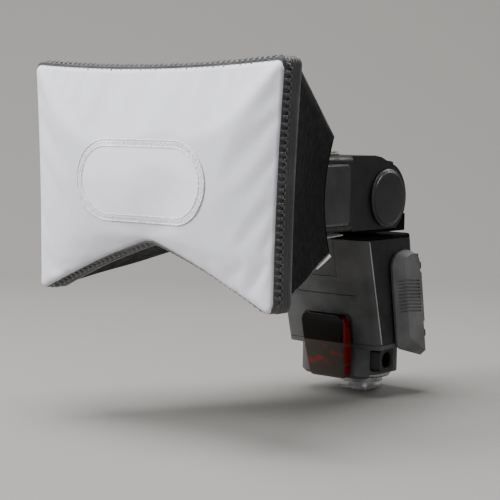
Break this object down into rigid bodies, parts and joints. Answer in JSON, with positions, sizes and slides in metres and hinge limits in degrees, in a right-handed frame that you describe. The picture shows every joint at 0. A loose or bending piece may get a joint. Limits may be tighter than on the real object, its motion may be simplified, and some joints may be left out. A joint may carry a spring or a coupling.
{
  "type": "hot-shoe flash gun with softbox",
  "caption": "Hot-shoe flash gun with a panning and tilting head, red autofocus-assist window and side battery door, wearing a folding fabric softbox with a white diffuser.",
  "frame": {"origin": "centre of the underside of the shoe foot", "axes": "-Z out of the foot's underside, -Y the way the flash points at rest, +X the battery-door side"},
  "size_m": [0.1626, 0.2046, 0.185],
  "materials": {
    "dark_plastic": "fine-grained satin moulding",
    "front_plastic": "charcoal moulding with a fine matt grain",
    "grey_plastic": "dark grey satin moulding",
    "grip_rubber": "soft-touch satin",
    "red_window": "deep red, polished",
    "dark_window": "near black, polished",
    "clear_plastic": "clear, with fine lens ridges",
    "pilot_lamp": "translucent amber",
    "steel": "turned and nickelled",
    "dark_metal": "knurled, dark anodised",
    "reflector_metal": "polished sheet",
    "contact_brass": "gold-flashed",
    "board": "green solder mask",
    "cell_sleeve": "printed sleeve, no lettering",
    "capacitor_sleeve": "shrink sleeve",
    "black_vinyl": "coated cloth with a soft sheen",
    "diffuser_cloth": "translucent white nylon",
    "white_cloth": "white lining",
    "loop_pile": "fuzzy loop tape"
  },
  "bodies": {
    "body": {"front_shell": "front_plastic", "sensor_window": "dark_window", "rear_shell": "dark_plastic", "top_deck": "dark_plastic", "base_housing": "dark_plastic", "af_window": "red_window", "af_beam_lens": "clear_plastic", "foot_plate": "steel", "contact_main": "contact_brass", "contact_1": "contact_brass", "contact_2": "contact_brass", "contact_3": "contact_brass", "foot_screw_1": "steel", "foot_screw_2": "steel", "foot_screw_3": "steel", "foot_screw_4": "steel", "power_socket": "dark_plastic", "lcd_window": "dark_window", "main_board": "board", "main_capacitor": "capacitor_sleeve", "battery_cell_1": "cell_sleeve", "battery_cell_2": "cell_sleeve", "battery_cell_3": "cell_sleeve", "battery_cell_4": "cell_sleeve", "cell_contact_plate": "steel"},
    "lock_ring": {"lock_ring": "dark_metal"},
    "lock_pin": {"lock_pin": "steel"},
    "swivel": {"swivel_base": "dark_plastic", "pan_retaining_ring": "steel", "tilt_disc_right": "dark_plastic", "tilt_disc_left": "dark_plastic"},
    "tilt_release": {"tilt_release_button": "grey_plastic"},
    "head": {"head_rear_shell": "dark_plastic", "head_housing": "dark_plastic", "grip_panel_right": "grip_rubber", "grip_panel_left": "grip_rubber", "fresnel_window": "clear_plastic", "zoom_motor": "steel", "loop_strip": "loop_pile"},
    "wide_panel": {"wide_panel": "clear_plastic"},
    "zoom_carriage": {"reflector_carriage": "reflector_metal", "flash_tube": "clear_plastic"},
    "lead_screw": {"zoom_lead_screw": "steel"},
    "softbox": {"softbox_top": "black_vinyl", "softbox_side_right": "black_vinyl", "softbox_side_left": "black_vinyl", "softbox_bottom_right": "black_vinyl", "softbox_bottom_left": "black_vinyl", "softbox_rim": "black_vinyl", "softbox_diffuser": "diffuser_cloth", "softbox_oval_patch": "diffuser_cloth", "softbox_flap": "white_cloth"},
    "door_pin": {"door_hinge_pin": "steel"},
    "battery_door": {"battery_door": "grey_plastic"},
    "power_switch": {"power_switch": "grey_plastic"},
    "pilot_button": {"pilot_button": "pilot_lamp"},
    "button_1": {"button_1": "grey_plastic"},
    "button_2": {"button_2": "grey_plastic"},
    "button_3": {"button_3": "grey_plastic"},
    "button_4": {"button_4": "grey_plastic"}
  },
  "joints": [
    {"name": "head_pan", "type": "hinge", "parent": "body", "child": "swivel", "pos_m": [0, -0.024, 0.095], "axis": [0, 0, 1], "range_deg": [-90, 180]},
    {"name": "head_tilt", "type": "hinge", "parent": "swivel", "child": "head", "pos_m": [0, -0.0325, 0.115], "axis": [-1, 0, 0], "range_deg": [-7, 90]},
    {"name": "tilt_release_press", "type": "slide", "parent": "swivel", "child": "tilt_release", "axis": [1, 0, 0], "range_m": [0, 0.0015], "stiffness_N_per_m": 800, "springref_m": -0.0005},
    {"name": "softbox_slide", "type": "slide", "parent": "head", "child": "softbox", "axis": [0, -1, 0], "range_m": [0, 0.065]},
    {"name": "wide_panel_slide", "type": "slide", "parent": "head", "child": "wide_panel", "axis": [0, -1, 0], "range_m": [0, 0.03]},
    {"name": "zoom_slide", "type": "slide", "parent": "head", "child": "zoom_carriage", "axis": [0, -1, 0], "range_m": [0, 0.015]},
    {"name": "zoom_screw_turn", "type": "hinge", "parent": "head", "child": "lead_screw", "pos_m": [0.0288, -0.1, 0.108], "axis": [0, -1, 0], "range_deg": [0, 720]},
    {"name": "door_slide", "type": "slide", "parent": "body", "child": "door_pin", "axis": [0, 0.1676, -0.9859], "range_m": [0, 0.005]},
    {"name": "door_swing", "type": "hinge", "parent": "door_pin", "child": "battery_door", "pos_m": [0.0336, 0.00809, 0.05781], "axis": [0, -0.1676, 0.9859], "range_deg": [0, 100]},
    {"name": "lock_ring_turn", "type": "hinge", "parent": "body", "child": "lock_ring", "pos_m": [0, 0, 0.0103], "axis": [0, 0, 1], "range_deg": [0, 75]},
    {"name": "lock_pin_drop", "type": "slide", "parent": "body", "child": "lock_pin", "axis": [0, 0, -1], "range_m": [0, 0.0015]},
    {"name": "power_switch_slide", "type": "slide", "parent": "body", "child": "power_switch", "axis": [1, 0, 0], "range_m": [0, 0.004]},
    {"name": "pilot_button_press", "type": "slide", "parent": "body", "child": "pilot_button", "axis": [0, -0.9859, -0.1676], "range_m": [0, 0.0008], "stiffness_N_per_m": 600, "springref_m": -0.0005},
    {"name": "button_1_press", "type": "slide", "parent": "body", "child": "button_1", "axis": [0, -0.9859, -0.1676], "range_m": [0, 0.0008], "stiffness_N_per_m": 600, "springref_m": -0.0005},
    {"name": "button_2_press", "type": "slide", "parent": "body", "child": "button_2", "axis": [0, -0.9859, -0.1676], "range_m": [0, 0.0008], "stiffness_N_per_m": 600, "springref_m": -0.0005},
    {"name": "button_3_press", "type": "slide", "parent": "body", "child": "button_3", "axis": [0, -0.9859, -0.1676], "range_m": [0, 0.0008], "stiffness_N_per_m": 600, "springref_m": -0.0005},
    {"name": "button_4_press", "type": "slide", "parent": "body", "child": "button_4", "axis": [0, -0.9859, -0.1676], "range_m": [0, 0.0008], "stiffness_N_per_m": 600, "springref_m": -0.0005}
  ],
  "couplings": [
    {"joint": "zoom_screw_turn", "follows": "zoom_slide", "rad_per_m": 837.76},
    {"joint": "lock_pin_drop", "follows": "lock_ring_turn", "m_per_rad": 0.0011448}
  ]
}
